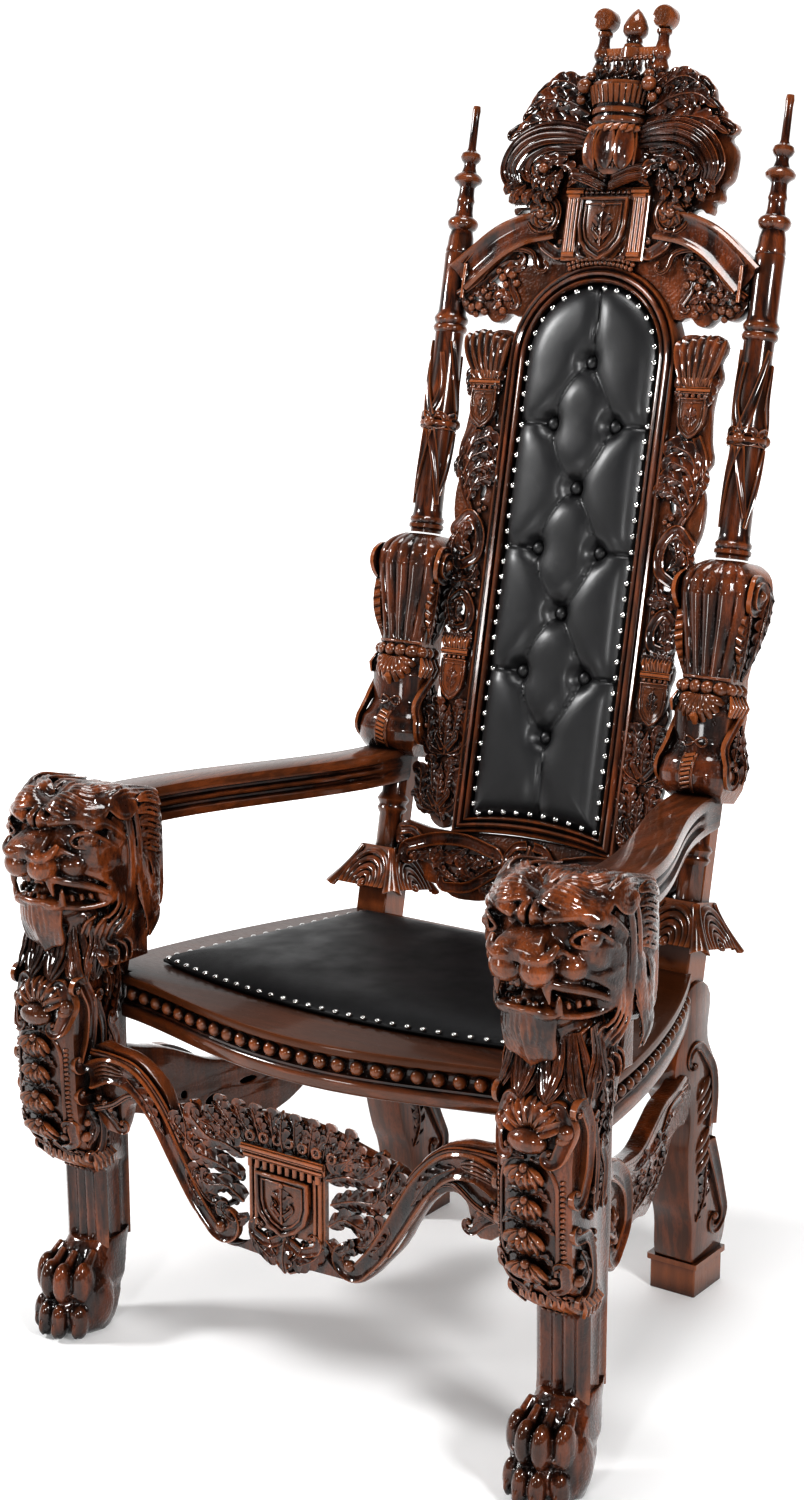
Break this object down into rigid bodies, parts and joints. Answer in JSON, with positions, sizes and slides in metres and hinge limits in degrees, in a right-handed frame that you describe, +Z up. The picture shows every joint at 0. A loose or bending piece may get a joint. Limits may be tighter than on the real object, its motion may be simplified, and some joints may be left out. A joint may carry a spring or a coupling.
{
  "type": "carved throne",
  "caption": "Tall carved wooden throne with lion-headed front legs, raked back, crowned pierced crest, and buttoned leather back and seat pads.",
  "frame": {"origin": "on the floor, under the middle of the throne's bounding box", "axes": "+Z up, the sitter faces -Y, +X is the sitter's left, and the throne is the same on both sides of X = 0"},
  "size_m": [0.9308, 0.9342, 1.8019],
  "materials": {
    "carved_wood": "dark red mahogany under glossy lacquer, darker in the carving, lighter on raised edges",
    "black_leather": "black fine-grained leather with a soft sheen",
    "silver_nails": "domed silver upholstery nails, slightly worn"
  },
  "bodies": {
    "root": {"front_leg_left": "carved_wood", "front_leg_right": "carved_wood", "rear_post_left": "carved_wood", "rear_post_right": "carved_wood", "arm_left": "carved_wood", "arm_right": "carved_wood", "side_rail_left": "carved_wood", "side_rail_right": "carved_wood", "side_stretcher_left": "carved_wood", "side_stretcher_right": "carved_wood", "front_rail": "carved_wood", "rear_rail": "carved_wood", "seat_board": "carved_wood", "seat_pad": "black_leather", "front_stretcher": "carved_wood", "back_frame": "carved_wood", "back_pad": "black_leather", "base_carving": "carved_wood", "crest": "carved_wood", "side_carving_left": "carved_wood", "side_carving_right": "carved_wood", "corbel_left": "carved_wood", "corbel_right": "carved_wood", "upper_column_left": "carved_wood", "upper_column_right": "carved_wood"}
  },
  "joints": []
}
